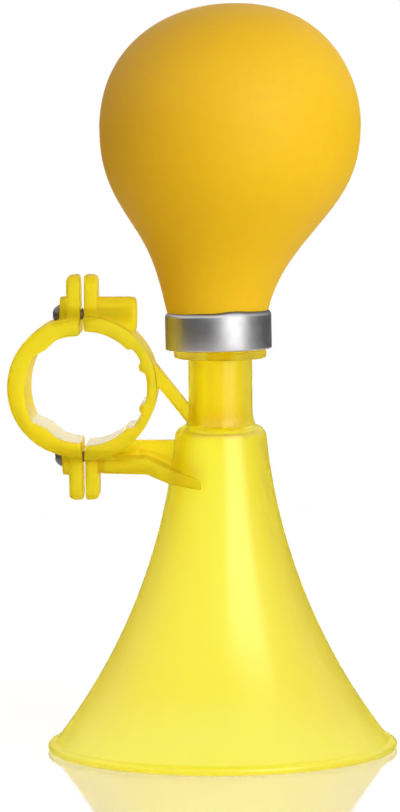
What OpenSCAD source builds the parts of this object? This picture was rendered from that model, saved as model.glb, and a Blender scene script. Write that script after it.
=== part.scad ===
// Bulb horn for a bicycle: a plastic bell and neck, a saw-tooth clamp with a loose
// jaw and two screws, a brass reed and a squeezed rubber bulb held by a metal band.
// Millimetres. The origin is the centre of the bell mouth, +Z runs up the neck to
// the bulb, the clamp stands out along -X and the handlebar lies along Y.

/* [Bell] */
// Outer radius of the rolled rim at the mouth
rim_r = 39.8; // [39.7:0.1:40.6]
// Height of the rolled rim
rim_h = 1.8; // [1.4:0.1:2.4]
// Radius of the single arc that the flare follows
flare_r = 134; // [133.8:0.05:134.3]
// Distance from the horn's axis to the centre of that arc
flare_axis = 143.78; // [143.6:0.02:144]
// Height of the centre of that arc
flare_z = 84.3; // [84:0.05:84.6]
// Height of the shoulder where the flare ends
shoulder_z = 74.1; // [73.8:0.05:74.6]
// Wall of the bell
bell_wall = 1.5; // [1.2:0.1:1.8]

/* [Neck] */
// Outer radius of the neck tube
neck_r = 7.25; // [7.1:0.05:7.6]
// Bore radius of the neck tube
neck_bore_r = 5.9; // [5.6:0.1:6]
// Height of the top of the neck tube
neck_z = 89.1; // [88.5:0.1:89.6]

/* [Handlebar clamp] */
// Radius of the handlebar that the tooth tips hold
bar_r = 12.7; // [12.6:0.05:12.8]
// Distance of the bar's centre line from the horn's axis
bar_x = 30.1; // [29.9:0.1:30.5]
// Height of the bar's centre line
bar_z = 83; // [82.6:0.1:83.4]
// Width of the clamp strap along the bar
strap_w = 20; // [18:0.5:22]
// Outer radius of the fixed jaw
fixed_r = 16.2; // [16:0.1:16.6]
// Outer radius of the loose jaw
loose_r = 15.6; // [15.4:0.1:16]
// Radius of the relief between the teeth of the fixed jaw
fixed_relief_r = 13.8; // [13.6:0.1:14.2]
// Radius of the relief between the corners of the loose jaw
loose_relief_r = 14.8; // [14.5:0.1:15]
// Width of the ears along the bar
ear_w = 12; // [10:0.5:14]
// Thickness of an ear
ear_t = 2.55; // [2.3:0.05:3]
// Height of the upper ear tips above the bar's centre line
ear_up = 25.2; // [24.8:0.1:26]
// Depth of the lower ear tips below the bar's centre line
ear_down = 25.7; // [25:0.1:26.5]
// Opening between the ears of the two jaws as clamped
ear_gap = 1.3; // [1.2:0.05:1.6]
// Turn of the loose jaw about the bar as it was tightened, in degrees
jaw_turn = 0.4; // [0:0.1:0.5]

/* [Screws] */
// Distance of each screw above or below the bar's centre line
screw_reach = 16.2; // [15.9:0.1:16.6]
// Crest radius of the screw thread
thread_r = 1.5; // [1.4:0.05:1.6]
// Length of the screw under its head
screw_len = 15.5; // [14.5:0.5:15.5]
// Radius of the screw head
head_r = 2.2; // [2:0.1:2.8]
// Thickness of the screw head
head_t = 1.8; // [1.5:0.1:2]
// Radius of the upper boss
boss_r = 4; // [3.7:0.05:4.2]
// Distance of the upper boss end from the horn's axis
boss_end_x = 18.8; // [18.4:0.1:19.2]

/* [Reed] */
// Radius of the flange that stands between the neck and the ferrule
flange_r = 10.5; // [10.2:0.05:10.8]
// Thickness of that flange
flange_t = 2.05; // [1.8:0.05:2.3]
// Radius of the spigot that stands in the bulb's mouth
spigot_r = 8.4; // [8.2:0.05:8.5]
// Radius of the brass shallot tube
shallot_r = 3.4; // [3.2:0.1:3.8]
// Height of the shallot above the flange
shallot_len = 26; // [24:0.5:30]
// Thickness of the brass tongue
tongue_t = 0.3; // [0.2:0.05:0.4]

/* [Bulb] */
// Largest radius of the bulb
bulb_r = 29.5; // [29:0.1:30]
// Length from the bulb's mouth up to its widest circle
bulb_mid = 40.4; // [39.8:0.1:41.2]
// Height of the bulb's crown above its widest circle
crown_h = 28.7; // [28:0.1:29.4]
// Fullness of the crown, where 2 is a plain ellipse
crown_n = 2.15; // [2:0.05:2.4]
// Thickness of the rubber
bulb_wall = 2.2; // [1.8:0.1:2.6]
// Lean of the bulb over the ferrule, towards +X, in degrees
bulb_lean = 4.5; // [3:0.5:5]

/* [Ferrule] */
// Outer radius of the metal band
ferrule_r = 12.05; // [12:0.05:12.3]
// Height of the metal band
ferrule_h = 8.7; // [8.2:0.05:9]
// Distance that the band and the bulb's mouth sit off the horn's axis, towards the clamp
ferrule_shift = 0.3; // [0:0.05:0.4]

/* [Hidden] */
$fn = 96;
eps = 0.01;
far = 60;

// Distance from the horn's axis to the flare's outer face at height z, less a depth into the wall
function flare_at(z, depth) =
  flare_axis - sqrt(pow(flare_r + depth, 2) - pow(z - flare_z, 2));

// Points along an arc of radius r about c, from angle a0 to a1 in n steps
function arc(c, r, a0, a1, n) =
  [for (i = [0 : n]) let (a = a0 + (a1 - a0) * i / n) [c[0] + r * cos(a), c[1] + r * sin(a)]];

// Point at share t of the cubic curve through p0 and p3 with handles p1 and p2
function cubic(p0, p1, p2, p3, t) =
  pow(1 - t, 3) * p0 + 3 * pow(1 - t, 2) * t * p1 + 3 * (1 - t) * t * t * p2 + pow(t, 3) * p3;

// Bell and neck
shoulder_round = 3.2;
cavity_z = 71.6;
flare_steps = 28;
rim_round = rim_h / 2;
rim_centre_r = rim_r - rim_round;
flare_foot_z = rim_h - 0.25;
flare_top_z = shoulder_z - shoulder_round - 0.1;
flare_top_r = flare_at(flare_top_z, 0);
// The neck's foot widens along an arc, from sweep_z down to the shoulder
sweep_r = 9;
sweep_z = 77.5;
sweep_foot = shoulder_z + 0.4;
sweep_a = asin((sweep_z - sweep_foot) / sweep_r);

// Outer outline of bell and neck, from the mouth up
outer_line = concat(
  [[rim_centre_r, 0]],
  arc([rim_centre_r, rim_round], rim_round, -60, 60, 8),
  [for (i = [0 : flare_steps]) let (z = flare_foot_z + (flare_top_z - flare_foot_z) * i / flare_steps)
    [flare_at(z, 0), z]],
  arc([flare_top_r - shoulder_round, shoulder_z - shoulder_round], shoulder_round, 15, 78, 6),
  arc([neck_r + sweep_r, sweep_z], sweep_r, 180 + sweep_a, 180, 5),
  [[neck_r, neck_z]]
);

// Inner outline, from the neck down to the mouth
cavity_round = 1.2;
cavity_foot_z = 0.6;
cavity_top_z = cavity_z - cavity_round;
cavity_top_r = flare_at(cavity_top_z, bell_wall);
inner_line = concat(
  [[neck_bore_r, neck_z], [neck_bore_r, cavity_z]],
  arc([cavity_top_r - cavity_round, cavity_top_z], cavity_round, 90, 5, 4),
  [for (i = [0 : flare_steps])
    let (z = cavity_top_z - 0.4 - (cavity_top_z - 0.4 - cavity_foot_z) * i / flare_steps)
    [flare_at(z, bell_wall), z]],
  [[flare_at(cavity_foot_z, bell_wall) + 0.2, 0]]
);

module bell() {
  color([0.98, 0.86, 0.12])
    rotate_extrude() polygon(concat(outer_line, inner_line));
}

// The whole space inside the bell's and neck's outer faces
module bell_space() {
  rotate_extrude() polygon(concat([[0, 0]], outer_line, [[0, neck_z]]));
}

// Parts of the clamp are drawn about the bar's centre line, then moved to it
module at_bar() { translate([-bar_x, 0, bar_z]) children(); }
module along_y(w) { rotate([90, 0, 0]) linear_extrude(w, center = true) children(); }
module disc_y(r, w, x = 0, z = 0) {
  translate([x, 0, z]) rotate([90, 0, 0]) cylinder(r = r, h = w, center = true);
}
module rod_x(r, x0, x1, z) { translate([x0, 0, z]) rotate([0, 90, 0]) cylinder(r = r, h = x1 - x0); }

// A wedge of the plane from angle a0 to a1 about the bar
module wedge(a0, a1, r) {
  polygon([[0, 0], for (i = [0 : 4]) let (a = a0 + (a1 - a0) * i / 4) r * [cos(a), sin(a)]]);
}

fixed_face = -0.24;
loose_face = fixed_face - ear_gap;
seat_r = bar_r + 0.1;
relief_half = 47;
// Angles of the four rounded teeth about the bar
TEETH = [45.5, 20, -19, -45.5];
tooth_r = 1.2;
ear_round = 3;
ear_edge = 1.1;
fixed_centre = -0.3;
loose_centre = [-2.1, 0.2];

// One ear: a plate with rounded free corners that runs out from the ring to its tip
module ear(x0, x1, up, free_right) {
  reach = up ? ear_up : ear_down;
  root = fixed_r - 2;
  mirror([0, 0, up ? 0 : 1]) intersection() {
    translate([x0, 0, 0]) rotate([90, 0, 90]) linear_extrude(x1 - x0) {
      translate([-ear_w / 2, root]) square([ear_w, reach - root - ear_round]);
      translate([-ear_w / 2 + ear_round, root]) square([ear_w - 2 * ear_round, reach - root]);
      for (s = [-1, 1]) translate([s * (ear_w / 2 - ear_round), reach - ear_round])
        circle(r = ear_round);
    }
    along_y(ear_w + 1) {
      translate([x0, 0]) square([x1 - x0, reach - ear_edge]);
      translate([free_right ? x0 : x0 + ear_edge, 0]) square([x1 - x0 - ear_edge, reach]);
      translate([free_right ? x1 - ear_edge : x0 + ear_edge, reach - ear_edge]) circle(r = ear_edge);
    }
  }
}

// The space that the bar and the relief between the teeth take out of the fixed jaw
module fixed_void() {
  disc_y(seat_r, strap_w + 2);
  difference() {
    intersection() {
      disc_y(fixed_relief_r, strap_w + 2);
      along_y(strap_w + 4) wedge(-relief_half, relief_half, far);
    }
    for (a = TEETH)
      disc_y(tooth_r, strap_w + 6, (bar_r + tooth_r) * cos(a), (bar_r + tooth_r) * sin(a));
  }
}

strut_w = 6;
strut_t = 2.8;
strut_top = [-20.4, 93.1];
strut_foot = [-5.9, 74.8];
web_w = 3;
web_top = 70.5;
arm_root_x = -28;
arm_boss_r = 3.1;
arm_boss_end = -18.6;
pilot_end_x = 19.9;
// Side outline of the plate under the arm, which dips to a saddle round the bell
PLATE_SIDE = [
  [arm_root_x, 63.7], [-16.3, 63.7], [-10.9, 61.4], [-4.4, 60.2],
  [-4.4, 62.2], [-10.8, 64.6], [-16.5, 67.4], [arm_root_x, 67.4]
];
// Half of the plate's outline seen from above
PLATE_HALF = [[arm_root_x, 6], [-26, 9], [-14, 12.1], [-4.4, 12.1]];

// A straight rib from a to b in the plane of the clamp
module rib(a, b, t, w) {
  d = b - a;
  l = norm(d);
  translate([a[0], 0, a[1]]) rotate([0, -atan2(d[1], d[0]), 0])
    translate([0, -w / 2, -t / 2]) cube([l, w, t]);
}

// A boss for one screw, with a rounded free end
module boss(z) {
  translate([-bar_x + fixed_face + 1, 0, z]) rotate([0, 90, 0]) rotate_extrude() polygon(concat(
    [[0, 0], [boss_r, 0]],
    arc([boss_r - ear_edge, bar_x - fixed_face - 1 - boss_end_x - ear_edge], ear_edge, 0, 90, 5),
    [[0, bar_x - fixed_face - 1 - boss_end_x]]
  ));
}

module plate() {
  intersection() {
    along_y(far) polygon(PLATE_SIDE);
    translate([0, 0, bar_z - far / 2]) linear_extrude(far) polygon(concat(
      PLATE_HALF, [for (i = [len(PLATE_HALF) - 1 : -1 : 0]) [PLATE_HALF[i][0], -PLATE_HALF[i][1]]]
    ));
  }
}

module clamp_bracket() {
  color([0.93, 0.78, 0.14]) difference() {
    union() {
      at_bar() {
        intersection() {
          disc_y(fixed_r, strap_w, fixed_centre);
          translate([fixed_face, -strap_w, -far]) cube([far, 2 * strap_w, 2 * far]);
        }
        for (up = [true, false]) ear(fixed_face, fixed_face + ear_t, up, true);
      }
      boss(bar_z + screw_reach);
      rod_x(arm_boss_r, arm_root_x, arm_boss_end, bar_z - screw_reach);
      rib(strut_top, strut_foot, strut_t, strut_w);
      translate([arm_root_x, -web_w / 2, PLATE_SIDE[0][1] + 1])
        cube([-arm_root_x, web_w, web_top - PLATE_SIDE[0][1] - 1]);
      plate();
    }
    at_bar() fixed_void();
    for (s = [-1, 1]) rod_x(thread_r + 0.06, -bar_x - 2, -pilot_end_x, bar_z + s * screw_reach);
    bell_space();
  }
}

corner_a = 137;
relief_centre = [0.6, -0.3];
// Where the faces of the two steps would meet, out from the bar's centre line
step_aim = 28;
pad_r = 4.1;
pad_t = 1.9;
head_x = loose_face - ear_t - pad_t;
head_gap = 0.04;
spot_gap = 0.25;
spot_reach = 6;
// Place of a screw head's underside along X, on the pad above (s = 1) or below (s = -1) the bar
function head_at(s) =
  -bar_x + head_x * cos(jaw_turn) - s * screw_reach * sin(jaw_turn) - head_gap;

module clamp_jaw() {
  color([0.93, 0.78, 0.14]) at_bar() rotate([0, -jaw_turn, 0]) difference() {
    union() {
      intersection() {
        disc_y(loose_r, strap_w, loose_centre[0], loose_centre[1]);
        translate([loose_face - far, -strap_w, -far]) cube([far, 2 * strap_w, 2 * far]);
      }
      for (up = [true, false]) ear(loose_face - ear_t, loose_face, up, false);
      for (s = [-1, 1]) rod_x(pad_r, head_x, loose_face - 1, s * screw_reach);
    }
    disc_y(seat_r, strap_w + 2);
    intersection() {
      disc_y(loose_relief_r, strap_w + 2, relief_centre[0], relief_centre[1]);
      along_y(strap_w + 4) polygon([
        [0, 0], seat_r * [cos(corner_a), sin(corner_a)], [-step_aim, 0],
        seat_r * [cos(corner_a), -sin(corner_a)]
      ]);
    }
    for (s = [-1, 1]) {
      rod_x(thread_r + 0.3, head_x - 1, loose_face + 1, s * screw_reach);
      // A spot face lets the head seat on its pad clear of the ring
      rod_x(head_r + spot_gap, head_x - spot_reach, head_x, s * screw_reach);
    }
  }
}

// A self-tapping screw about X: domed head with a cross recess, cut thread and a blunt point
thread_pitch = 1.25;
thread_depth = 0.35;
plain_len = 3.2;
point_len = 2;
recess_w = 0.7;
recess_l = 2.6;
recess_d = 0.9;

module screw(s) {
  turns = floor((screw_len - plain_len - point_len) / thread_pitch);
  core_r = thread_r - thread_depth;
  thread_line = [for (i = [0 : turns - 1]) each
    let (h = plain_len + i * thread_pitch)
    [[core_r, h], [core_r, h + 0.5 * thread_pitch], [thread_r, h + 0.7 * thread_pitch],
     [thread_r, h + 0.8 * thread_pitch]]];
  thread_end = plain_len + turns * thread_pitch;
  head_dome = (head_t * head_t + head_r * head_r) / (2 * head_t);
  dome_a = asin(head_r / head_dome);
  translate([head_at(s), 0, bar_z + s * screw_reach]) rotate([0, 90, 0]) difference() {
    rotate_extrude() polygon(concat(
      arc([0, head_dome - head_t], head_dome, -90, -90 + dome_a, 8),
      [[core_r, 0], [core_r, plain_len]],
      thread_line,
      [[core_r, thread_end], [0.4, screw_len], [0, screw_len]]
    ));
    for (a = [0, 90]) rotate([0, 0, a])
      translate([-recess_l / 2, -recess_w / 2, -head_t - 1]) cube([recess_l, recess_w, 1 + recess_d]);
  }
}

module clamp_screw_top() { color([0.32, 0.3, 0.29]) screw(1); }
module clamp_screw_bottom() { color([0.32, 0.3, 0.29]) screw(-1); }

// Reed unit: a moulded plug with a lower spigot in the neck and a barbed one in the bulb
flange_top = neck_z + flange_t;
lower_spigot_z = 72.4;
upper_spigot_z = 101;
barb = 0.12;
barb_pitch = 2.6;
air_r = 2.6;
edge = 0.7;
seat_depth = 6;
fit_gap = 0.02;

module reed_plug() {
  barbs = [for (i = [0 : 2]) each let (h = flange_top + 1.2 + i * barb_pitch)
    [[spigot_r - barb, h], [spigot_r, h + 0.3], [spigot_r - barb, h + 1.5]]];
  color([0.93, 0.76, 0.12]) rotate_extrude() polygon(concat(
    [[air_r, lower_spigot_z], [neck_bore_r - 0.6, lower_spigot_z], [neck_bore_r - fit_gap, lower_spigot_z + 0.8],
     [neck_bore_r - fit_gap, neck_z]],
    arc([flange_r - edge, neck_z + edge], edge, -90, 0, 4),
    arc([flange_r - edge, flange_top - edge], edge, 0, 90, 4),
    [[spigot_r - barb, flange_top]],
    barbs,
    [[spigot_r - barb, upper_spigot_z - 0.8], [spigot_r - 1, upper_spigot_z],
     [shallot_r + fit_gap, upper_spigot_z], [shallot_r + fit_gap, upper_spigot_z - seat_depth],
     [air_r, upper_spigot_z - seat_depth]]
  ));
}

// The shallot is a brass trough: a tube shut at its top, cut open along the side that the tongue beats on
shallot_foot = upper_spigot_z - seat_depth;
shallot_top = neck_z + flange_t + shallot_len;
beat_y = -1.3;

module reed_shallot() {
  color([0.8, 0.62, 0.24]) difference() {
    translate([0, 0, shallot_foot]) cylinder(r = shallot_r, h = shallot_top - shallot_foot);
    translate([0, 0, shallot_foot - 1]) cylinder(r = air_r, h = shallot_top - shallot_foot);
    translate([-5, beat_y - 10, upper_spigot_z + 0.3]) cube([10, 10, shallot_len]);
  }
}

// The tongue lies over the trough, clamped at its foot, with its free end lifted a little
tongue_foot = upper_spigot_z + 0.8;
tongue_top = shallot_top + 0.6;
tongue_w = 5.4;
tongue_lift = 1.6;
tongue_gap = 0.12;
pivot_y = beat_y - tongue_gap;

module reed_tongue() {
  color([0.86, 0.7, 0.34])
    translate([0, pivot_y, tongue_foot]) rotate([tongue_lift, 0, 0])
      translate([-tongue_w / 2, -tongue_t, 0]) difference() {
        cube([tongue_w, tongue_t, tongue_top - tongue_foot]);
        for (s = [0, 1]) translate([s * tongue_w, -1, tongue_top - tongue_foot]) rotate([-90, 0, 0])
          rotate([0, 0, 45]) cube([1.2, 1.2, 3], center = true);
      }
}

// The clip is a spring band round the shallot that traps the tongue's foot
clip_r = shallot_r + 0.55;
clip_h = 2.6;
swing_room = 0.35;

module reed_clip() {
  color([0.72, 0.55, 0.22]) translate([0, 0, tongue_foot]) difference() {
    cylinder(r = clip_r, h = clip_h);
    translate([0, 0, -1]) intersection() {
      cylinder(r = shallot_r + eps, h = clip_h + 2);
      translate([-5, pivot_y - tongue_t - swing_room, 0]) cube([10, 10, clip_h + 2]);
    }
  }
}

// The ferrule is a spun band with its upper edge rolled in over the bulb's mouth
ferrule_foot = flange_top + 0.05;
ferrule_wall = 0.55;
ferrule_round = 0.9;
lip_in = 0.62;

module ferrule() {
  inner_r = ferrule_r - ferrule_wall;
  top = ferrule_foot + ferrule_h;
  color([0.75, 0.75, 0.77]) translate([-ferrule_shift, 0, 0]) rotate_extrude() polygon(concat(
    [[inner_r, ferrule_foot]],
    arc([ferrule_r - 0.35, ferrule_foot + 0.35], 0.35, -90, 0, 3),
    arc([ferrule_r - ferrule_round, top - ferrule_round], ferrule_round, 0, 70, 5),
    [[ferrule_r - lip_in, top], [ferrule_r - lip_in, top - 0.5], [inner_r, top - ferrule_round]]
  ));
}

// The bulb: a full crown above the widest circle and one S curve down to its mouth
lean_z = ferrule_foot + ferrule_h + 0.3;
mouth_r = ferrule_r - lip_in - 0.13;
mouth_bore_r = spigot_r + 0.12;
mouth_foot = flange_top + 0.2;
mouth_h = 11.5;
skirt_s = 1;
skirt_r = 11.65;
crown_steps = 16;
flank_steps = 22;
flank_lean = [0.223, 0.975];
FLANK = [
  [bulb_r, bulb_mid], [bulb_r, bulb_mid - 19], [skirt_r, skirt_s] + 19.5 * flank_lean, [skirt_r, skirt_s]
];

bulb_line = concat(
  [for (i = [0 : crown_steps]) let (a = 90 - 90 * i / crown_steps)
    [bulb_r * pow(cos(a), 2 / crown_n), bulb_mid + crown_h * pow(sin(a), 2 / crown_n)]],
  [for (i = [1 : flank_steps]) cubic(FLANK[0], FLANK[1], FLANK[2], FLANK[3], i / flank_steps)]
);

// The same outline drawn in by the wall, each point moved square to its neighbours
function inset(line, i, t) =
  let (a = line[max(i - 1, 0)], b = line[min(i + 1, len(line) - 1)], d = b - a)
  line[i] + t * [d[1], -d[0]] / norm(d);
cavity_line = concat(
  [[0, bulb_line[0][1] - bulb_wall]],
  [for (i = [1 : len(bulb_line) - 1]) let (p = inset(bulb_line, i, bulb_wall)) [max(p[0], mouth_bore_r), p[1]]]
);

module leaning() { translate([-ferrule_shift, 0, lean_z]) rotate([0, bulb_lean, 0]) children(); }

module bulb() {
  color([0.93, 0.68, 0.1]) difference() {
    union() {
      leaning() rotate_extrude() polygon(concat([[0, skirt_s]], bulb_line));
      translate([-ferrule_shift, 0, mouth_foot]) cylinder(r = mouth_r, h = mouth_h);
    }
    leaning() rotate_extrude() polygon(concat([[0, skirt_s - 1]], cavity_line,
      [[mouth_bore_r, skirt_s - 1]]));
    translate([0, 0, mouth_foot - 1]) cylinder(r = mouth_bore_r, h = mouth_h + 2);
  }
}

bell();
clamp_bracket();
clamp_jaw();
clamp_screw_top();
clamp_screw_bottom();
reed_plug();
reed_shallot();
reed_tongue();
reed_clip();
ferrule();
bulb();
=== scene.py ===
import math

import bmesh
import bpy
from mathutils import Matrix, Vector, noise


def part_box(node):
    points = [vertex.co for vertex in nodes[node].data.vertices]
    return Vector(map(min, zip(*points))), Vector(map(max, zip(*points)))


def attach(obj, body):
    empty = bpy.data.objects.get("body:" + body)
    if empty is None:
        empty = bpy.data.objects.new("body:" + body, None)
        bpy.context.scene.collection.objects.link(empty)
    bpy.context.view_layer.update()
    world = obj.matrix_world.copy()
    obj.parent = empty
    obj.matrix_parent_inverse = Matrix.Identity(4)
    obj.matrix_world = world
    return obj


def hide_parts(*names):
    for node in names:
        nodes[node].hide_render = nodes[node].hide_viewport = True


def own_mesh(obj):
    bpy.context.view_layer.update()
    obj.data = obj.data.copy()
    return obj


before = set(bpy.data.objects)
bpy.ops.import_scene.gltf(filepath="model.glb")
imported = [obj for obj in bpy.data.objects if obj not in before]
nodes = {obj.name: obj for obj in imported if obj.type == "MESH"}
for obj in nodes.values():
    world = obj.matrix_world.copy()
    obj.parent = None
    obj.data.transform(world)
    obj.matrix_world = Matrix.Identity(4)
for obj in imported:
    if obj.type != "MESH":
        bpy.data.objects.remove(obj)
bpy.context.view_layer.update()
scene = bpy.context.scene
mm = 0.001


# Bell and neck
# One thin moulding of clear yellow polystyrene: a trumpet flare with a half-round bead at
# its mouth, a domed shoulder and a plain tube that the reed plug is pushed into. It
# carries the clamp bracket and stands on its bead.

BEAD_R = 38.895
BEAD_ROUND = 0.9
BEAD_TOP = 1.95
FLARE_R = 134.0
FLARE_AXIS = 143.78
FLARE_Z = 84.3
FLARE_STEPS = 90
BELL_WALL = 1.5
DOME_R = 7.27
DOME_Z = 70.9
DOME_ROUND = 3.2
NECK_R = 7.25
NECK_BORE = 5.9
NECK_TOP = 89.06
NECK_LIP = 0.25
SWEEP_R = 9.0
SWEEP_Z = 77.5
CAVITY_TOP = 72.2
CAVITY_ROUND = 1.2
ROOF_RISE = 3.4
MOUTH_ROUND = 0.4
# Heights in mm between which a share of the bell's dye or polish comes in or goes out
ROOF_FOOT = (70.9, 72.0)
ROOF_TOP = (76, 79)
FLARE_FOOT = (13, 4)
BEAD_EDGE = (2.2, 1.7)
NECK_FOOT = (73, 76)


def even(start, stop, steps):
    """Numbers from start to stop in even steps."""
    return [start + (stop - start) * i / steps for i in range(steps + 1)]


def flare_at(z, depth):
    """Radius of the flare at height z, less a depth into its wall."""
    return FLARE_AXIS - math.sqrt((FLARE_R + depth) ** 2 - (z - FLARE_Z) ** 2)


def arc(centre, radius, start, stop, steps):
    """Points (r, z) along an arc between two angles in degrees."""
    turns = [math.radians(angle) for angle in even(start, stop, steps)]
    return [(centre[0] + radius * math.cos(a), centre[1] + radius * math.sin(a)) for a in turns]


def spin_profile(profile, steps, closed=True):
    """A shell turned about the horn's axis from (r, z) points in millimetres."""
    bm = bmesh.new()
    line = [bm.verts.new((r * mm, 0, z * mm)) for r, z in profile]
    for a, b in zip(line, line[1:]):
        bm.edges.new((a, b))
    if closed:
        bm.edges.new((line[-1], line[0]))
    bmesh.ops.spin(
        bm, geom=bm.verts[:] + bm.edges[:], cent=(0, 0, 0), axis=(0, 0, 1), dvec=(0, 0, 0),
        angle=math.tau, steps=steps, use_merge=True,
    )
    bmesh.ops.remove_doubles(bm, verts=bm.verts, dist=0.002 * mm)
    bmesh.ops.recalc_face_normals(bm, faces=bm.faces)
    # Where a lip folds over itself, the shell can come out the wrong way round
    if bm.calc_volume(signed=True) < 0:
        bmesh.ops.reverse_faces(bm, faces=bm.faces)
    return bm


def mesh_of(name, bm):
    """A mesh with the form of a bmesh, which is freed."""
    mesh = bpy.data.meshes.new(name)
    bm.to_mesh(mesh)
    bm.free()
    return mesh


def add_object(name, data):
    """An object in the scene."""
    added = bpy.data.objects.new(name, data)
    scene.collection.objects.link(added)
    return added


def make_piece(name, bm, material, body, hard_edge=38):
    """The object of a finished bmesh, smooth but for edges that turn by over hard_edge degrees."""
    for face in bm.faces:
        face.smooth = True
    for edge in bm.edges:
        if len(edge.link_faces) == 2 and edge.calc_face_angle(0) > math.radians(hard_edge):
            edge.smooth = False
    piece = add_object(name, mesh_of(name, bm))
    piece.data.materials.append(material)
    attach(piece, body)
    return piece


def set_inputs(node, values):
    """Gives a node's own sockets their values, by name."""
    for name, value in values.items():
        node.inputs[name].default_value = value


def add_node(tree, kind, inputs=None, **properties):
    """A node with its properties set, and its inputs set or linked by name or number."""
    node = tree.nodes.new(kind)
    for name, value in properties.items():
        setattr(node, name, value)
    for name, value in (inputs or {}).items():
        if isinstance(value, bpy.types.NodeSocket):
            tree.links.new(value, node.inputs[name])
        else:
            node.inputs[name].default_value = value
    return node


def maths(tree, operation, *values):
    """The result of a sum on numbers or sockets."""
    return add_node(
        tree, "ShaderNodeMath", dict(enumerate(values)), operation=operation
    ).outputs[0]


def vector_maths(tree, operation, *values):
    """The result of a sum on points or sockets."""
    node = add_node(tree, "ShaderNodeVectorMath", dict(enumerate(values)), operation=operation)
    return node.outputs["Value" if operation == "LENGTH" else "Vector"]


def spread(tree, value, low, high, start=0.0, end=1.0):
    """The range from low to high made the range from start to end."""
    sockets = {"Value": value, "From Min": low, "From Max": high, "To Min": start, "To Max": end}
    return add_node(tree, "ShaderNodeMapRange", sockets).outputs[0]


def between(tree, height, heights, start=0.0, end=1.0):
    """A share that goes from start to end between two heights, or distances, in millimetres."""
    return spread(tree, height, heights[0] * mm, heights[1] * mm, start, end)


def mixed(tree, share, first, second):
    """Two colours mixed by the share of the second."""
    sockets = {"Factor": share, "A": first, "B": second}
    return add_node(tree, "ShaderNodeMix", sockets, data_type="RGBA").outputs["Result"]


def spot_on(tree):
    """The place on the object that is being shaded."""
    return add_node(tree, "ShaderNodeTexCoord").outputs["Object"]


def height_on(tree):
    """The height above the table of the place that is being shaded."""
    return add_node(tree, "ShaderNodeSeparateXYZ", {0: spot_on(tree)}).outputs["Z"]


def grains(tree, spot, scale, detail, roughness=0.5, distortion=0.0):
    """A noise value that varies from place to place."""
    sockets = {
        "Vector": spot, "Scale": scale, "Detail": detail,
        "Roughness": roughness, "Distortion": distortion,
    }
    return add_node(tree, "ShaderNodeTexNoise", sockets).outputs["Fac"]


def bumped(tree, strength, distance, height):
    """The normal of a surface raised by a height value."""
    sockets = {"Strength": strength, "Distance": distance, "Height": height}
    return add_node(tree, "ShaderNodeBump", sockets).outputs["Normal"]


def new_finish(name, inputs):
    """A node group that puts out a colour, a roughness and a normal, and what it is given."""
    group = bpy.data.node_groups.new(name, "ShaderNodeTree")
    for label, kind, value in inputs:
        socket = group.interface.new_socket(name=label, in_out="INPUT", socket_type=kind)
        socket.default_value = value
    for label, kind in (
        ("Colour", "NodeSocketColor"), ("Roughness", "NodeSocketFloat"),
        ("Normal", "NodeSocketVector"),
    ):
        group.interface.new_socket(name=label, in_out="OUTPUT", socket_type=kind)
    return group, group.nodes.new("NodeGroupInput").outputs


def put_out(group, colour, roughness, normal):
    """Joins what a finish has worked out to its output node."""
    sockets = {"Colour": colour, "Roughness": roughness, "Normal": normal}
    add_node(group, "NodeGroupOutput", sockets)


def empty_material(name):
    """A material with no nodes yet."""
    material = bpy.data.materials.new(name)
    material.use_nodes = True
    material.node_tree.nodes.clear()
    return material, material.node_tree


def new_material(name):
    """A material with its Principled shader joined to the output."""
    material, tree = empty_material(name)
    shader = add_node(tree, "ShaderNodeBsdfPrincipled")
    add_node(tree, "ShaderNodeOutputMaterial", {"Surface": shader.outputs["BSDF"]})
    return material, tree, shader


def wear_finish(tree, shader, colour, roughness, normal):
    """Joins a finish to the shader that wears it."""
    tree.links.new(colour, shader.inputs["Base Color"])
    tree.links.new(roughness, shader.inputs["Roughness"])
    tree.links.new(normal, shader.inputs["Normal"])


def tint_over(tree, shader, share, colour):
    """Mixes one more colour into the shader's own where a share asks for it."""
    own = shader.inputs["Base Color"].links[0].from_socket
    tree.links.new(mixed(tree, share, own, colour), shader.inputs["Base Color"])


# Moulded plastic has broad clouds of deeper dye, flow lines drawn out from the gate, and
# a faint ripple and fine handling scratches in its gloss
moulded, given = new_finish(
    "moulded_plastic",
    [
        ("Colour", "NodeSocketColor", (1, 0.9, 0.2, 1)),
        ("Deep Colour", "NodeSocketColor", (1, 0.8, 0.1, 1)),
        ("Roughness", "NodeSocketFloat", 0.2),
        ("Flow Stretch", "NodeSocketVector", (1, 1, 0.15)),
        ("Ripple", "NodeSocketFloat", 0.1),
    ],
)
spot = spot_on(moulded)
drawn = vector_maths(moulded, "MULTIPLY", spot, given["Flow Stretch"])
cloud = grains(moulded, spot, scale=45.0, detail=3.0)
flow = grains(moulded, drawn, scale=420.0, detail=4.0)
depth = spread(moulded, maths(moulded, "MULTIPLY", cloud, flow), 0.12, 0.42)
scratch = grains(moulded, spot, scale=1900.0, detail=2.0, distortion=1.5)
scratches = spread(moulded, scratch, 0.45, 0.8, 0.0, 0.09)
wave = grains(moulded, drawn, scale=260.0, detail=2.0)
put_out(
    moulded,
    colour=mixed(moulded, depth, given["Colour"], given["Deep Colour"]),
    roughness=maths(moulded, "ADD", scratches, given["Roughness"]),
    normal=bumped(moulded, given["Ripple"], 0.25 * mm, wave),
)


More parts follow.
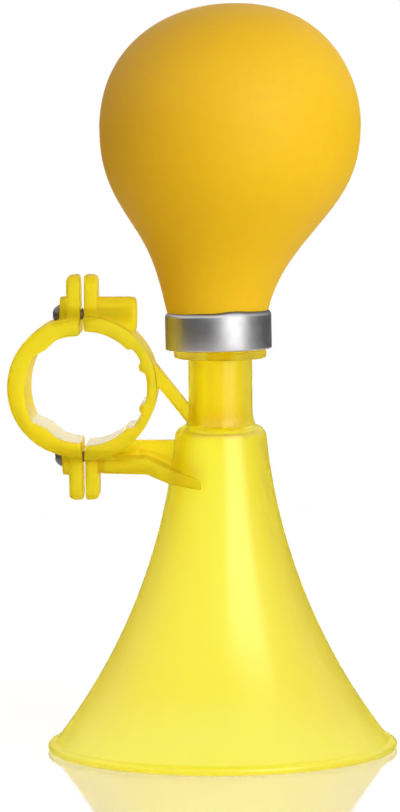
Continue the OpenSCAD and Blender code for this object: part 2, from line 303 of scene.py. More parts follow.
def clear_plastic(
    name, colour, deep, edge, roughness, clearness, glow, gloss, bend, stretch, ripple
):
    """Dyed see-through plastic.

    Clearness is the share of light that passes and glow how far the rest spreads, gloss is
    the polish of a face seen square on, and bend is how much light bends on its way in.
    """
    material, tree, shader = new_material(name)
    marks = add_node(
        tree, "ShaderNodeGroup",
        {
            "Colour": colour, "Deep Colour": deep, "Roughness": roughness,
            "Flow Stretch": stretch, "Ripple": ripple,
        },
        node_tree=moulded,
    ).outputs
    # Light crosses more plastic where a wall is seen edge on, which deepens its colour
    facing = add_node(tree, "ShaderNodeLayerWeight", {"Blend": 0.5}).outputs["Facing"]
    tinted = mixed(tree, facing, marks["Colour"], edge)
    # Its polish is dull there, so that the edge keeps that deep colour
    polish = spread(tree, facing, 0.45, 0.85, gloss, 0.0)
    tree.links.new(polish, shader.inputs["Coat Weight"])
    wear_finish(tree, shader, tinted, marks["Roughness"], marks["Normal"])
    set_inputs(shader, {
        "IOR": bend, "Transmission Weight": clearness, "Subsurface Weight": 1.0,
        "Subsurface Scale": glow, "Subsurface Radius": (1.0, 0.7, 0.12),
        "Coat Roughness": 0.24, "Coat IOR": 1.5,
    })
    return material, tree, shader


bell_plastic, bell_tree, bell_shader = clear_plastic(
    "bell_plastic",
    colour=(1.0, 0.97, 0.19, 1), deep=(1.0, 0.95, 0.15, 1), edge=(0.98, 0.80, 0.0, 1),
    roughness=0.46, clearness=0.99, glow=3 * mm, gloss=0.95, bend=1.24,
    stretch=(1, 1, 0.12), ripple=0.05,
)
height = height_on(bell_tree)
# The roof between the bell and the bore of its neck is solid, so that it shows deeper
roof_foot = between(bell_tree, height, ROOF_FOOT)
roof_top = between(bell_tree, height, ROOF_TOP, 1.0, 0.25)
roof = maths(bell_tree, "MULTIPLY", roof_foot, roof_top)
tint_over(bell_tree, bell_shader, roof, (0.965, 0.85, 0.055, 1))
# Towards the foot of the flare, and most on the rolled bead, the colour deepens
foot_depth = between(bell_tree, height, FLARE_FOOT, 0.0, 0.35)
bead_depth = between(bell_tree, height, BEAD_EDGE, 0.0, 0.9)
rim_depth = maths(bell_tree, "MAXIMUM", foot_depth, bead_depth)
tint_over(bell_tree, bell_shader, rim_depth, (0.98, 0.87, 0.03, 1))
# The neck's mould is less polished than the flare's
neck_polish = between(bell_tree, height, NECK_FOOT, 1.0, 0.4)
bell_polish = bell_shader.inputs["Coat Weight"].links[0].from_socket
toned = maths(bell_tree, "MULTIPLY", bell_polish, neck_polish)
bell_tree.links.new(toned, bell_shader.inputs["Coat Weight"])

bead = arc((BEAD_R, BEAD_ROUND), BEAD_ROUND, -90, 62, 14)
outer_flare = [(flare_at(z, 0), z) for z in even(BEAD_TOP, DOME_Z - 0.1, FLARE_STEPS)]
dome = arc((DOME_R, DOME_Z), DOME_ROUND, 6, 78, 12)
sweep = arc((NECK_R + SWEEP_R, SWEEP_Z), SWEEP_R, 199.5, 180, 8)
neck_lip = arc((NECK_R - NECK_LIP, NECK_TOP - NECK_LIP), NECK_LIP, 0, 90, 4)
neck_bore = [(NECK_BORE, NECK_TOP), (NECK_BORE, CAVITY_TOP + ROOF_RISE)]
cavity_low = CAVITY_TOP - CAVITY_ROUND
cavity_side = flare_at(cavity_low, BELL_WALL) - CAVITY_ROUND
cavity_roof = arc((cavity_side, cavity_low), CAVITY_ROUND, 90, 4, 8)
inner_flare = [
    (flare_at(z, BELL_WALL), z) for z in even(cavity_low - 0.3, 2 * MOUTH_ROUND, FLARE_STEPS)
]
mouth_side = flare_at(MOUTH_ROUND, BELL_WALL) + MOUTH_ROUND + 0.05
mouth_edge = arc((mouth_side, MOUTH_ROUND), MOUTH_ROUND, 180, 270, 5)
bell_form = spin_profile(
    bead + outer_flare + dome + sweep + neck_lip
    + neck_bore + cavity_roof + inner_flare + mouth_edge,
    steps=240,
)
bell = make_piece("bell_shell", bell_form, bell_plastic, "horn")
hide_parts("bell")


# Clamp bracket and loose jaw
# Two solid mouldings of a deeper golden plastic with draughted, rounded edges. The
# bracket is one with the bell: its saddle and strut run into the bell's wall. The jaw is
# a free half ring that the two screws draw against the bar.

VOXEL = 0.3
EDGE_PASSES = 3
SADDLE_REACH = 0.35
SADDLE_DEPTH = 0.45
BAR_X = -30.1
BAR_Z = 83.0
BORE_REACH = 15.2
# Distances in mm from the bar's axis over which the painted reflection on the bore's lower wall
# comes in
PAINTED_SHEEN_REACH = (15.3, 14.9)
JAW_WIDTH = 20.0
WALL_IN = 0.5
DRAUGHT = 0.45
LIP = 0.8
LOW_LIP = 0.6
LIP_START = 6.5
LIP_RAMP = 4
LIP_FADE = 1.2
EAR_FOOT = 13.5
EAR_RAMP = 1.5
EAR_TIP = 21
EAR_NEAR = 6
EAR_HALF = 1.5
EAR_SWELL = 0.25


def evaluated_form(part):
    """The form of an object with its modifiers applied."""
    evaluated = part.evaluated_get(bpy.context.evaluated_depsgraph_get())
    bm = bmesh.new()
    bm.from_mesh(evaluated.to_mesh())
    evaluated.to_mesh_clear()
    return bm


def discard(part):
    """Removes an object that only helped to make a form."""
    mesh = part.data
    bpy.data.objects.remove(part)
    bpy.data.meshes.remove(mesh)


def moulded_copy(node, voxel, passes):
    """The CAD node's shape with every edge rounded, as a moulding leaves the tool."""
    bm = bmesh.new()
    bm.from_mesh(nodes[node].data)
    bmesh.ops.remove_doubles(bm, verts=bm.verts, dist=0.001 * mm)
    rough = add_object(node + "_rough", mesh_of(node + "_rough", bm))
    remesh = rough.modifiers.new("voxels", "REMESH")
    remesh.mode = "VOXEL"
    remesh.voxel_size = voxel * mm
    bm = evaluated_form(rough)
    discard(rough)
    for _ in range(passes):
        bmesh.ops.smooth_vert(
            bm, verts=bm.verts, factor=0.5, use_axis_x=True, use_axis_y=True, use_axis_z=True
        )
    return bm


def swell_ears(form):
    """Thickens the two ears of a clamp moulding by a little on each face."""
    for side in (1, -1):
        reach = {vert: side * (vert.co.z / mm - BAR_Z) for vert in form.verts}
        tips = [
            vert.co.x / mm for vert in form.verts
            if reach[vert] > EAR_TIP and abs(vert.co.x / mm - BAR_X) < EAR_NEAR
        ]
        middle = (min(tips) + max(tips)) / 2
        for vert in form.verts:
            off = vert.co.x / mm - middle
            if reach[vert] > EAR_FOOT and abs(off) < EAR_HALF:
                grown = min(1, (reach[vert] - EAR_FOOT) / EAR_RAMP)
                vert.co.x += EAR_SWELL * off / EAR_HALF * grown * mm


def bell_surface(z):
    """Outer radius in metres of the bell or neck at height z in metres."""
    height = z / mm
    if height > SWEEP_Z:
        return NECK_R * mm
    if height > DOME_Z + DOME_ROUND:
        return (NECK_R + SWEEP_R - math.sqrt(SWEEP_R**2 - (SWEEP_Z - height) ** 2)) * mm
    if height > DOME_Z:
        return (DOME_R + math.sqrt(DOME_ROUND**2 - (height - DOME_Z) ** 2)) * mm
    return flare_at(height, 0) * mm


clamp_plastic, clamp_tree, clamp_shader = clear_plastic(
    "clamp_plastic",
    colour=(0.99, 0.855, 0.035, 1), deep=(0.98, 0.82, 0.025, 1), edge=(0.97, 0.76, 0.018, 1),
    roughness=0.5, clearness=0.55, glow=4 * mm, gloss=0.1, bend=1.09,
    stretch=(0.3, 1, 0.3), ripple=0.08,
)
clamp_shader.inputs["Specular IOR Level"].default_value = 0.3
# The lower wall of the bore looks up, and a painted reflection of the white light above is put on
# it: a pale tint where it faces up, with a glossier coat
bore_at = vector_maths(clamp_tree, "ADD", spot_on(clamp_tree), (-BAR_X * mm, 0, -BAR_Z * mm))
bore_plane = vector_maths(clamp_tree, "MULTIPLY", bore_at, (1, 0, 1))
bore_reach = vector_maths(clamp_tree, "LENGTH", bore_plane)
in_bore = between(clamp_tree, bore_reach, PAINTED_SHEEN_REACH)
true_normal = add_node(clamp_tree, "ShaderNodeNewGeometry").outputs["True Normal"]
facing_up = add_node(clamp_tree, "ShaderNodeSeparateXYZ", {0: true_normal}).outputs["Z"]
painted_sheen = maths(clamp_tree, "MULTIPLY", in_bore, spread(clamp_tree, facing_up, 0.2, 0.85))
tint_over(clamp_tree, clamp_shader, painted_sheen, (1.0, 0.96, 0.62, 1))
painted_sheen_gloss = spread(clamp_tree, painted_sheen, 0.0, 1.0, 0.1, 1.0)
clamp_tree.links.new(painted_sheen_gloss, clamp_shader.inputs["Coat Weight"])

bracket_form = moulded_copy("clamp_bracket", VOXEL, EDGE_PASSES)
for vert in bracket_form.verts:
    out = math.hypot(vert.co.x, vert.co.y)
    if out - bell_surface(vert.co.z) < SADDLE_REACH * mm:
        vert.co.xy *= (out - SADDLE_DEPTH * mm) / out
swell_ears(bracket_form)
bracket = make_piece(
    "clamp_bracket_moulding", bracket_form, clamp_plastic, "horn", 80
)
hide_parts("clamp_bracket")

jaw_form = moulded_copy("clamp_jaw", VOXEL, EDGE_PASSES)
for vert in jaw_form.verts:
    x, y, z = vert.co.x / mm - BAR_X, vert.co.y / mm, vert.co.z / mm - BAR_Z
    out = math.hypot(x, z)
    if out > BORE_REACH:
        continue
    # Draught: the jaw's inner wall bears on the bar, its far end more than its near end
    draught = max(0.0, -x / out) * (WALL_IN + DRAUGHT * (0.5 + y / JAW_WIDTH))
    # A soft lip at each end of the jaw's bore bears on the bar
    lip = LIP * min(max((x + LIP_START) / LIP_RAMP, 0), 1) * (1 if z > 0 else LOW_LIP)
    fade = min(1.0, (BORE_REACH - out) / LIP_FADE)
    vert.co.x += (draught - lip * x / out) * fade * mm
    vert.co.z -= lip * z / out * fade * mm
swell_ears(jaw_form)
jaw = make_piece("clamp_jaw_moulding", jaw_form, clamp_plastic, "jaw", 80)
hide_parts("clamp_jaw")


# Clamp screws
# Two small self-tapping screws of dark plated steel with domed cross-recess heads. Each
# passes through a clearance hole in the jaw and cuts its own thread in the bracket's boss.

HEAD_R = 2.2
HEAD_T = 1.8
HEAD_RIM = 0.25
HEAD_BEVEL = 0.12
SCREW_LEN = 15.5
TIP_LEN = 1.8
TIP_R = 0.35
CORE_R = 1.15
CORE_FILLET = 0.2
THREAD_R = 1.48
THREAD_START = 2.9
THREAD_TURNS = 9
THREAD_FOOT = 0.62
THREAD_CREST = (0.27, 0.36)
THREAD_ROOT = 0.15
RUN_IN = 1.0
RUN_OUT = 2.4
PITCH = 1.25
TURN_STEPS = 28
RECESS_W = 0.72
RECESS_L = 2.7
RECESS_DEPTH = 1.0
RECESS_FLOOR_L = 0.45
RECESS_FLOOR_W = 0.7

# Drawn or turned metal: faint lines along one direction, a mottled tarnish and its bump
worked, given = new_finish(
    "worked_metal",
    [
        ("Colour", "NodeSocketColor", (0.7, 0.7, 0.7, 1)),
        ("Tarnish", "NodeSocketColor", (0.4, 0.4, 0.4, 1)),
        ("Tarnish Amount", "NodeSocketFloat", 0.3),
        ("Roughness", "NodeSocketFloat", 0.25),
        ("Line Stretch", "NodeSocketVector", (1, 1, 20)),
        ("Line Depth", "NodeSocketFloat", 0.1),
    ],
)
spot = spot_on(worked)
drawn = vector_maths(worked, "MULTIPLY", spot, given["Line Stretch"])
lines = grains(worked, drawn, scale=500.0, detail=5.0)
blotch = grains(worked, spot, scale=330.0, detail=6.0, roughness=0.65)
tarnished = maths(
    worked, "MULTIPLY", spread(worked, blotch, 0.42, 0.72), given["Tarnish Amount"]
)
dulled = maths(worked, "MULTIPLY", tarnished, 0.35)
brushed = spread(worked, lines, 0.3, 0.7, -0.015, 0.025)
finish = maths(worked, "ADD", brushed, dulled)
put_out(
    worked,
    colour=mixed(worked, tarnished, given["Colour"], given["Tarnish"]),
    roughness=maths(worked, "ADD", finish, given["Roughness"]),
    normal=bumped(worked, given["Line Depth"], 0.05 * mm, lines),
)


def metal(name, colour, tarnish, amount, roughness, stretch, lines_depth):
    """A worked metal with its own colour, tarnish and direction of lines."""
    material, tree, shader = new_material(name)
    marks = add_node(
        tree, "ShaderNodeGroup",
        {
            "Colour": colour, "Tarnish": tarnish, "Tarnish Amount": amount,
            "Roughness": roughness, "Line Stretch": stretch, "Line Depth": lines_depth,
        },
        node_tree=worked,
    ).outputs
    wear_finish(tree, shader, marks["Colour"], marks["Roughness"], marks["Normal"])
    shader.inputs["Metallic"].default_value = 1.0
    return material


screw_steel = metal(
    "screw_steel", colour=(0.17, 0.155, 0.145, 1), tarnish=(0.09, 0.065, 0.05, 1), amount=0.7,
    roughness=0.3, stretch=(8, 1, 1), lines_depth=0.15,
)


def screw_body():
    """A screw's head and core along +Z, with the underside of its head at the origin."""
    dome_r = (HEAD_T**2 + HEAD_R**2) / (2 * HEAD_T)
    dome_turn = math.degrees(math.asin((HEAD_R - HEAD_BEVEL) / dome_r))
    head = arc((0, dome_r - HEAD_T), dome_r, -90, -90 + dome_turn, 14)
    rim = [(HEAD_R, -HEAD_RIM), (HEAD_R - 0.08, 0)]
    core = [(CORE_R + CORE_FILLET, 0), (CORE_R, 0.25), (CORE_R, SCREW_LEN - TIP_LEN)]
    tip = [(TIP_R, SCREW_LEN - 0.1), (0, SCREW_LEN)]
    return spin_profile(head + rim + core + tip, steps=48, closed=False)


def screw_thread():
    """The helical thread of the same screw."""
    form = bmesh.new()
    ridge = [
        form.verts.new((x * mm, 0, (THREAD_START + z) * mm))
        for x, z in (
            (CORE_R - THREAD_ROOT, 0), (CORE_R - THREAD_ROOT, THREAD_FOOT),
            (THREAD_R, THREAD_CREST[1]), (THREAD_R, THREAD_CREST[0]),
        )
    ]
    form.faces.new(ridge)
    bmesh.ops.spin(
        form, geom=form.verts[:] + form.edges[:] + form.faces[:], cent=(0, 0, 0),
        axis=(0, 0, 1), dvec=(0, 0, PITCH * mm / TURN_STEPS), angle=math.tau * THREAD_TURNS,
        steps=THREAD_TURNS * TURN_STEPS,
    )
    # The thread runs out into the core at both ends
    thread_end = THREAD_START + THREAD_TURNS * PITCH + 0.6
    sunk = (CORE_R - 0.05) * mm
    for vert in form.verts:
        z = vert.co.z / mm
        rise = min(1, (z - THREAD_START) / RUN_IN, (thread_end - z) / RUN_OUT)
        out = math.hypot(vert.co.x, vert.co.y)
        if out > CORE_R * mm:
            vert.co.xy *= (sunk + (out - sunk) * max(rise, 0)) / out
    bmesh.ops.recalc_face_normals(form, faces=form.faces)
    return form


def cut_recess(body):
    """The screw's body with a cross recess cut into its head."""
    cross = bmesh.new()
    for turn in (0, math.pi / 2):
        arm = bmesh.ops.create_cube(cross, size=1.0)["verts"]
        size = (RECESS_L * mm, RECESS_W * mm, 2 * RECESS_DEPTH * mm)
        bmesh.ops.scale(cross, vec=size, verts=arm)
        for vert in arm:
            if vert.co.z > 0:
                vert.co.x *= RECESS_FLOOR_L
                vert.co.y *= RECESS_FLOOR_W
        turned_by = Matrix.Rotation(turn, 3, "Z")
        bmesh.ops.rotate(cross, cent=(0, 0, 0), matrix=turned_by, verts=arm)
    bmesh.ops.translate(cross, vec=(0, 0, -HEAD_T * mm), verts=cross.verts)
    head = add_object("screw_head", mesh_of("screw_head", body))
    cutter = add_object("screw_cross", mesh_of("screw_cross", cross))
    cut = head.modifiers.new("recess", "BOOLEAN")
    cut.object = cutter
    cut.operation = "DIFFERENCE"
    cut.solver = "EXACT"
    cut.use_self = True
    bm = evaluated_form(head)
    discard(head)
    discard(cutter)
    return bm


for side, body_name in (("top", "screw_top"), ("bottom", "screw_bottom")):
    low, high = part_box("clamp_screw_" + side)
    seat = Matrix.Translation((low.x + HEAD_T * mm, 0, (low.z + high.z) / 2))
    form = cut_recess(screw_body())
    thread_mesh = mesh_of("thread", screw_thread())
    form.from_mesh(thread_mesh)
    bpy.data.meshes.remove(thread_mesh)
    bmesh.ops.transform(
        form, matrix=seat @ Matrix.Rotation(math.pi / 2, 4, "Y"), verts=form.verts
    )
    screw = make_piece(
        "screw_" + side + "_steel", form, screw_steel, body_name, 30
    )
    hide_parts("clamp_screw_" + side)


# Reed plug
# A turned-looking moulding that stops the neck: its lower spigot is a push fit in the
# neck, its flange shows under the metal band, and its barbed upper spigot holds the bulb.

FLANGE_R = 10.5
FLANGE_FOOT = 89.12
FLANGE_TOP = 91.15
FLANGE_ROUND = 0.85
SPIGOT_R = 8.4
LOW_SPIGOT_R = 5.85
SPIGOT_LEAD = 0.8
BARB = 0.12
BARBS = 3
BARB_PITCH = 2.6
PLUG_FOOT = 72.4
PLUG_TOP = 101.0
AIR_R = 2.6
SHALLOT_SEAT = 95.0
SHALLOT_HOLE = 3.44

plug_plastic, plug_tree, plug_shader = clear_plastic(
    "plug_plastic",
    colour=(1.0, 0.92, 0.08, 1), deep=(1.0, 0.90, 0.06, 1), edge=(1.0, 0.88, 0.05, 1),
    roughness=0.6, clearness=0.94, glow=3 * mm, gloss=0.0, bend=1.1,
    stretch=(1, 1, 3), ripple=0.05,
)
# The flange is solid and lies in the shade of the metal band; that shade is painted into its
# colour as a darker tint
flange_painted_shade = between(plug_tree, height_on(plug_tree), (FLANGE_FOOT - 0.1, FLANGE_FOOT))
tint_over(plug_tree, plug_shader, flange_painted_shade, (0.87, 0.70, 0.07, 1))

spigot_low = SPIGOT_R - BARB
flange_side = FLANGE_R - FLANGE_ROUND
low_spigot = [
    (AIR_R, PLUG_FOOT), (NECK_BORE - 0.6, PLUG_FOOT),
    (LOW_SPIGOT_R, PLUG_FOOT + SPIGOT_LEAD), (LOW_SPIGOT_R, FLANGE_FOOT),
]
flange = (
    arc((flange_side, FLANGE_FOOT + FLANGE_ROUND), FLANGE_ROUND, -90, 0, 7)
    + arc((flange_side, FLANGE_TOP - FLANGE_ROUND), FLANGE_ROUND, 0, 90, 7)
)
barbs = [(spigot_low, FLANGE_TOP)]
for i in range(BARBS):
    barb_foot = FLANGE_TOP + i * BARB_PITCH
    barbs += [
        (spigot_low, barb_foot + 1.2), (SPIGOT_R, barb_foot + 1.5), (spigot_low, barb_foot + 2.7)
    ]
plug_end = [
    (spigot_low, PLUG_TOP - SPIGOT_LEAD), (SPIGOT_R - 1, PLUG_TOP), (SHALLOT_HOLE, PLUG_TOP),
    (SHALLOT_HOLE, SHALLOT_SEAT), (AIR_R, SHALLOT_SEAT),
]
plug_form = spin_profile(low_spigot + flange + barbs + plug_end, steps=144)
plug = make_piece("reed_plug_moulding", plug_form, plug_plastic, "horn")
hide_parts("reed_plug")


# Brass reed
# A drawn brass tube shut at its end and cut open along one side, a springy brass tongue
# over the cut, and a clip that traps the tongue's foot. They stand inside the bulb.

reed_finishes = {
    "reed_shallot": metal(
        "shallot_brass", colour=(0.80, 0.58, 0.22, 1), tarnish=(0.42, 0.26, 0.10, 1),
        amount=0.45, roughness=0.24, stretch=(6, 6, 0.3), lines_depth=0.2,
    ),
    "reed_tongue": metal(
        "tongue_brass", colour=(0.88, 0.70, 0.32, 1), tarnish=(0.55, 0.38, 0.16, 1),
        amount=0.2, roughness=0.16, stretch=(10, 1, 0.4), lines_depth=0.12,
    ),
    "reed_clip": metal(
        "clip_brass", colour=(0.70, 0.50, 0.20, 1), tarnish=(0.34, 0.22, 0.10, 1),
        amount=0.6, roughness=0.32, stretch=(1, 1, 12), lines_depth=0.2,
    ),
}
for node_name, brass in reed_finishes.items():
    part = nodes[node_name]
    part.data.materials.clear()
    part.data.materials.append(brass)


# Metal band
# A spun ring of satin aluminium pulled down over the bulb's mouth. Its upper edge is
# rolled in by hand pressure, so the lip is uneven and the whole band sits a little askew.

BAND_R = 12.05
BAND_WALL = 0.55
BAND_FOOT = 91.22
BAND_TOP = 99.9
BAND_EDGE = 0.35
BAND_ROUND = 1.25
LIP_IN = 0.62
LIP_ROUND = 0.28
LIP_FROM = 0.55
LIP_CURVE = 1.6
DENT_DEPTH = 0.004
DENT_SIZE = 1.7
DENT_TALL = 1.2
BAND_SHIFT = -0.3
BAND_LEAN = 0.8
# Angle in degrees, width in radians and height in mm of the two swells in the lip
LIP_SWELLS = ((-72, 0.3, 0.75), (-38, 0.4, 0.4))

band_metal = metal(
    "band_metal", colour=(0.56, 0.56, 0.565, 1), tarnish=(0.42, 0.42, 0.43, 1), amount=0.2,
    roughness=0.3, stretch=(0.4, 0.4, 14), lines_depth=0.02,
)
band_tree = band_metal.node_tree
band_shader = band_tree.nodes["Principled BSDF"]
# The rolled lines spread a highlight sideways, and a low tint keeps the band's edges dark
set_inputs(band_shader, {"Specular Tint": (0.3, 0.3, 0.33, 1), "Anisotropic": 0.85})
# The rolled lip is painted darker than the band below it, as a painted dark reflection
lip_painted_dark = between(band_tree, height_on(band_tree), (BAND_TOP - 0.9, BAND_TOP - 0.2))
tint_over(band_tree, band_shader, lip_painted_dark, (0.20, 0.20, 0.21, 1))

inside_r = BAND_R - BAND_WALL
band_form = spin_profile(
    [(inside_r, BAND_FOOT)]
    + arc((BAND_R - BAND_EDGE, BAND_FOOT + BAND_EDGE), BAND_EDGE, -90, 0, 6)
    + arc((BAND_R - BAND_ROUND, BAND_TOP - BAND_ROUND), BAND_ROUND, 0, 75, 10)
    + arc((BAND_R - LIP_IN + 0.1, BAND_TOP - 0.3), LIP_ROUND, 100, 250, 6)
    + [(inside_r - 0.25, BAND_TOP - 1.2), (inside_r, BAND_TOP - 2.0)],
    steps=240,
)


def lip_rise(turn):
    """Height in mm of the rolled lip above its mean, at an angle from the clamp's far side."""
    waves = 0.12 * math.sin(3 * turn + 0.8) + 0.07 * math.sin(7 * turn + 2.1)
    return waves + sum(
        rise * math.exp(-(((turn - math.radians(middle)) / width) ** 2))
        for middle, width, rise in LIP_SWELLS
    )


for vert in band_form.verts:
    along = (vert.co.z / mm - BAND_FOOT) / (BAND_TOP - BAND_FOOT)
    share_up = max(0.0, (along - LIP_FROM) / (1 - LIP_FROM)) ** LIP_CURVE
    turn = math.atan2(vert.co.y, vert.co.x)
    vert.co.z += lip_rise(turn) * share_up * mm
    dent = noise.noise(
        Vector((math.cos(turn) * DENT_SIZE, math.sin(turn) * DENT_SIZE, along * DENT_TALL))
    )
    vert.co.xy *= 1 + DENT_DEPTH * dent
askew = (
    Matrix.Translation((BAND_SHIFT * mm, 0, BAND_FOOT * mm))
    @ Matrix.Rotation(math.radians(-BAND_LEAN), 4, "Y")
    @ Matrix.Translation((0, 0, -BAND_FOOT * mm))
)
bmesh.ops.transform(band_form, matrix=askew, verts=band_form.verts)
band = make_piece("ferrule_band", band_form, band_metal, "horn", 50)
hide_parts("ferrule")


# Bulb
# A hollow dip-moulded bulb of matte orange-yellow rubber with an even wall. Its soft
# throat takes up the offset between the mouth, held by the band, and the heavy crown.

BULB_R = 29.48
BULB_MID = 141.4
CROWN_A = 29.55
CROWN_B = 28.76
CROWN_N = 2.161
CROWN_Z = 140.41
THROAT_R = 11.6
THROAT_Z = 100.2
THROAT_SLOPE = 0.229
HANDLE_DOWN = 19.6
HANDLE_UP = 20.0
MOUTH_R = 11.28
MOUTH_FOOT = 91.4
MOUTH_TOP = 99.0
MOUTH_BORE = 8.52
RUBBER = 2.2
CROWN_STEPS = 44
FLANK_STEPS = 60
# Offset of the bulb's middle from the horn's axis at some heights
LEAN_AT = [
    (91, -0.35), (98, -0.5), (102, -0.55), (108, 0.0), (117, 1.3),
    (127, 2.15), (141, 2.55), (156, 2.65), (164, 3.1), (170, 3.8),
]


def bezier(p0, p1, p2, p3, t):
    """Point at share t of a cubic curve in the plane."""
    weights = ((1 - t) ** 3, 3 * (1 - t) ** 2 * t, 3 * (1 - t) * t * t, t**3)
    return tuple(sum(w * p[k] for w, p in zip(weights, (p0, p1, p2, p3))) for k in (0, 1))


def lean_offset(z):
    """Offset in mm at height z, on a smooth curve through LEAN_AT."""
    points = [LEAN_AT[0]] + LEAN_AT + [LEAN_AT[-1]]
    for i in range(1, len(points) - 2):
        (z0, x0), (z1, x1), (z2, x2), (z3, x3) = points[i - 1 : i + 3]
        if z <= z2 or i == len(points) - 3:
            span = z2 - z1
            t = min(max((z - z1) / span, 0), 1)
            m1 = (x2 - x0) / (z2 - z0) * span
            m2 = (x3 - x1) / (z3 - z1) * span
            return (
                (2 * t**3 - 3 * t**2 + 1) * x1 + (t**3 - 2 * t**2 + t) * m1
                + (3 * t**2 - 2 * t**3) * x2 + (t**3 - t**2) * m2
            )


def drawn_in(line, depth):
    """The line moved square to itself by a depth, towards the axis side."""
    moved = []
    for i, (r, z) in enumerate(line):
        before, after = line[max(i - 1, 0)], line[min(i + 1, len(line) - 1)]
        dr, dz = after[0] - before[0], after[1] - before[1]
        size = math.hypot(dr, dz)
        moved.append((max(r + depth * dz / size, MOUTH_BORE), z - depth * dr / size))
    return moved


crown = [
    (CROWN_A * math.sin(a) ** (2 / CROWN_N), CROWN_Z + CROWN_B * math.cos(a) ** (2 / CROWN_N))
    for a in even(0, math.pi / 2, CROWN_STEPS)
]
crown = [point for point in crown if point[1] > BULB_MID]
flank = [
    bezier(
        (BULB_R, BULB_MID), (BULB_R, BULB_MID - HANDLE_DOWN),
        (THROAT_R + HANDLE_UP * THROAT_SLOPE, THROAT_Z + HANDLE_UP), (THROAT_R, THROAT_Z),
        share,
    )
    for share in even(0, 1, FLANK_STEPS)
]
mouth = [
    (MOUTH_R, MOUTH_TOP), (MOUTH_R, MOUTH_FOOT), (MOUTH_BORE, MOUTH_FOOT), (MOUTH_BORE, MOUTH_TOP)
]
inside = drawn_in(crown + flank, RUBBER)
inside[0] = (0, crown[0][1] - RUBBER)
bulb_form = spin_profile(crown + flank + mouth + inside[::-1], steps=160, closed=False)
for vert in bulb_form.verts:
    vert.co.x += lean_offset(vert.co.z / mm) * mm

# Rubber: fine matte grain, faint clouds in the pigment and a dusty bloom on the surface
rubber, rubber_tree, rubber_shader = new_material("bulb_rubber")
spot = spot_on(rubber_tree)
clouds = grains(rubber_tree, spot, scale=38.0, detail=4.0)
mottle = grains(rubber_tree, spot, scale=420.0, detail=5.0)
grain = grains(rubber_tree, spot, scale=2600.0, detail=4.0)
pigment = add_node(
    rubber_tree, "ShaderNodeValToRGB", {"Fac": maths(rubber_tree, "MULTIPLY", clouds, mottle)}
)
shades = pigment.color_ramp.elements
shades[0].position = 0.1
shades[0].color = (0.91, 0.585, 0.007, 1)
shades[1].position = 0.4
shades[1].color = (0.93, 0.622, 0.010, 1)
wear_finish(
    rubber_tree, rubber_shader,
    colour=pigment.outputs["Color"],
    roughness=spread(rubber_tree, mottle, 0.3, 0.7, 0.5, 0.62),
    normal=bumped(rubber_tree, 0.12, 0.06 * mm, grain),
)
set_inputs(rubber_shader, {
    "IOR": 1.5, "Specular IOR Level": 0.22, "Subsurface Weight": 0.35,
    "Subsurface Scale": 2.5 * mm, "Subsurface Radius": (1.0, 0.4, 0.08),
})

bulb = make_piece("bulb_rubber_skin", bulb_form, rubber, "horn", 60)
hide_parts("bulb")
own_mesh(bulb)


# Table, light and camera
# A small white table with a polished top, one tall soft light to the right of the camera
# and a weak one behind, in a room that only mirrors see: dark round the table, white above.

TABLE_R = 0.5
TABLE_DROP = 0.02
TABLE_WHITE = (0.82, 0.82, 0.82, 1)
POLISH = 0.7
POLISH_BLUR = 0.07
# The table glows a little for the camera, and more in mirrors, so that it stays white
GLOW_SEEN = 0.2
GLOW_MIRRORED = 0.42
GLOW_COLOUR = (0.82, 0.88, 1, 1)
ROOM_R = 2.6
ROOM_LOW = -1.2
ROOM_SILL = 0.1
ROOM_WHITE = 1.15
ROOM_HIGH = 3.2
ROOM_DARK = (0.035, 0.037, 0.042, 1)
CEILING = (0.55, 0.55, 0.55, 1)
# Angles in degrees between which the wall behind the horn is open
WINDOW_LEFT = -20
WINDOW_RIGHT = 14
AMBIENT = 0.45
AMBIENT_COLOUR = (1.0, 0.72, 0.53, 1)

table_form = bmesh.new()
bmesh.ops.create_circle(table_form, cap_ends=True, segments=96, radius=TABLE_R)
bmesh.ops.translate(table_form, vec=(0, 0, -TABLE_DROP * mm), verts=table_form.verts)
table_white, table_tree = empty_material("table_white")
ray = add_node(table_tree, "ShaderNodeLightPath").outputs
polish = maths(table_tree, "MULTIPLY", ray["Is Camera Ray"], POLISH)
top_coat = add_node(
    table_tree, "ShaderNodeBsdfGlossy", {"Color": (1, 1, 1, 1), "Roughness": POLISH_BLUR}
)
paint = add_node(table_tree, "ShaderNodeBsdfDiffuse", {"Color": TABLE_WHITE})
surface = add_node(
    table_tree, "ShaderNodeMixShader", {0: polish, 1: paint.outputs[0], 2: top_coat.outputs[0]}
)
mirrored = maths(table_tree, "MULTIPLY", ray["Is Glossy Ray"], GLOW_MIRRORED)
lift = maths(table_tree, "MULTIPLY_ADD", ray["Is Camera Ray"], GLOW_SEEN, mirrored)
shine = add_node(table_tree, "ShaderNodeEmission", {"Color": GLOW_COLOUR, "Strength": lift})
whole = add_node(
    table_tree, "ShaderNodeAddShader", {0: surface.outputs[0], 1: shine.outputs[0]}
)
add_node(table_tree, "ShaderNodeOutputMaterial", {"Surface": whole.outputs[0]})
floor = add_object("table_top", mesh_of("table_top", table_form))
floor.data.materials.append(table_white)
floor.visible_transmission = False

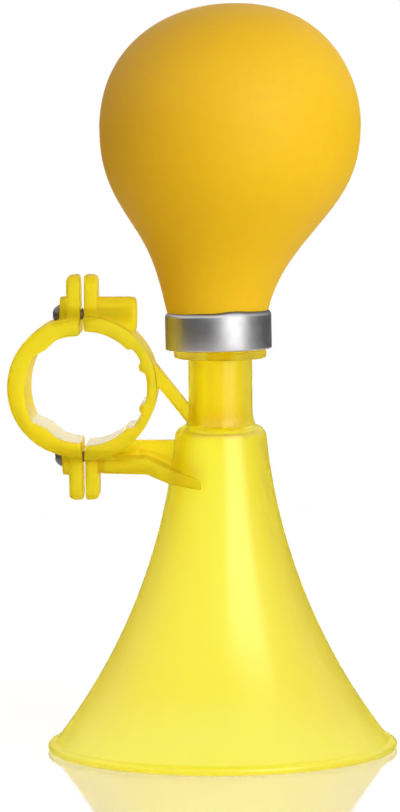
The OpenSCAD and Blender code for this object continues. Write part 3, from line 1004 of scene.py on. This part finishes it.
room_tall = ROOM_HIGH - ROOM_LOW
room_form = bmesh.new()
bmesh.ops.create_cone(
    room_form, cap_ends=True, segments=96, radius1=ROOM_R, radius2=ROOM_R, depth=room_tall
)
bmesh.ops.translate(room_form, vec=(0, 0, (ROOM_HIGH + ROOM_LOW) / 2), verts=room_form.verts)
opened = []
for face in room_form.faces:
    middle = face.calc_center_median()
    azimuth = math.degrees(math.atan2(middle.x, middle.y))
    if abs(face.normal.z) < 0.5 and WINDOW_LEFT < azimuth < WINDOW_RIGHT:
        opened.append(face)
bmesh.ops.delete(room_form, geom=opened, context="FACES")
dark_room, room_tree = empty_material("dark_room")
room_height = spread(room_tree, height_on(room_tree), ROOM_LOW, ROOM_HIGH)
room_shade = add_node(room_tree, "ShaderNodeValToRGB", {"Fac": room_height})
shades = room_shade.color_ramp.elements
shades[0].position = (ROOM_SILL - ROOM_LOW) / room_tall
shades[0].color = ROOM_DARK
shades[1].position = 1.0
shades[1].color = CEILING
for level_at in (ROOM_WHITE, ROOM_HIGH - 0.05):
    shades.new((level_at - ROOM_LOW) / room_tall).color = (1, 1, 1, 1)
room_glow = add_node(
    room_tree, "ShaderNodeEmission", {"Color": room_shade.outputs["Color"], "Strength": 1.0}
)
add_node(room_tree, "ShaderNodeOutputMaterial", {"Surface": room_glow.outputs[0]})
room = add_object("dark_room", mesh_of("dark_room", room_form))
room.data.materials.append(dark_room)
room.visible_camera = False
room.visible_diffuse = False
room.visible_transmission = False
room.visible_shadow = False

world = bpy.data.worlds.new("white_studio")
scene.world = world
world.use_nodes = True
world_tree = world.node_tree
world_tree.nodes.clear()
ray = add_node(world_tree, "ShaderNodeLightPath").outputs
shown = maths(world_tree, "MAXIMUM", ray["Is Camera Ray"], ray["Is Glossy Ray"])
shown = maths(world_tree, "MAXIMUM", shown, ray["Is Transmission Ray"])
backdrop = add_node(
    world_tree, "ShaderNodeBackground",
    {
        "Color": mixed(world_tree, shown, AMBIENT_COLOUR, (1, 1, 1, 1)),
        "Strength": spread(world_tree, shown, 0.0, 1.0, AMBIENT, 1.0),
    },
)
add_node(world_tree, "ShaderNodeOutputWorld", {"Surface": backdrop.outputs[0]})


def soft_light(name, azimuth, height, reach, size, radiance, target_z):
    """A rectangular soft light; azimuth is measured round from the camera's side towards +X."""
    data = bpy.data.lights.new(name, "AREA")
    data.shape = "RECTANGLE"
    data.size, data.size_y = size
    data.energy = radiance * math.pi * size[0] * size[1]
    lamp = add_object(name, data)
    turn = math.radians(azimuth)
    lamp.location = (reach * math.sin(turn), -reach * math.cos(turn), height)
    aim = Vector((0, 0, target_z)) - lamp.location
    lamp.rotation_euler = aim.to_track_quat("-Z", "Y").to_euler()
    lamp.visible_camera = False
    return lamp


soft_light(
    "key_softbox", azimuth=35, height=0.3, reach=0.95, size=(0.78, 1.1), radiance=2.7,
    target_z=0.12,
)
# The weak light keeps the horn's far side from going brown, and shows in no mirror or glass
fill = soft_light(
    "back_fill", azimuth=160, height=0.35, reach=1.1, size=(0.8, 0.8), radiance=1.8,
    target_z=0.1,
)
fill.visible_transmission = False
fill.visible_glossy = False

CAMERA_AT = (0.022, -0.977, 0.1596)
CAMERA_TILT = 4.76
CAMERA_ROLL = -0.4
FOCAL_PX = 4324
FRAME_H = 812
SENSOR = 36
AXIS_PX = 20.6
yaw = math.atan2(-CAMERA_AT[0], -CAMERA_AT[1]) - math.atan(AXIS_PX / FOCAL_PX)
tilt = math.radians(CAMERA_TILT)
roll = math.radians(CAMERA_ROLL)
forward = Vector((
    math.sin(yaw) * math.cos(tilt), math.cos(yaw) * math.cos(tilt), -math.sin(tilt)
))
level_right = Vector((math.cos(yaw), -math.sin(yaw), 0))
level_up = level_right.cross(forward)
right = level_right * math.cos(roll) + level_up * math.sin(roll)
up = level_up * math.cos(roll) - level_right * math.sin(roll)
camera_data = bpy.data.cameras.new("photo_camera")
camera_data.sensor_width = SENSOR
camera_data.lens = SENSOR * FOCAL_PX / FRAME_H
camera_data.clip_start = 0.05
camera_data.clip_end = 20
camera = add_object("photo_camera", camera_data)
turned = Matrix((right, up, -forward)).transposed().to_4x4()
camera.matrix_world = Matrix.Translation(CAMERA_AT) @ turned
scene.camera = camera
scene.view_settings.view_transform = "Standard"
# Light is passed on many times inside clear walls before it leaves them
scene.cycles.max_bounces = 32
scene.cycles.glossy_bounces = 24
scene.cycles.transmission_bounces = 32
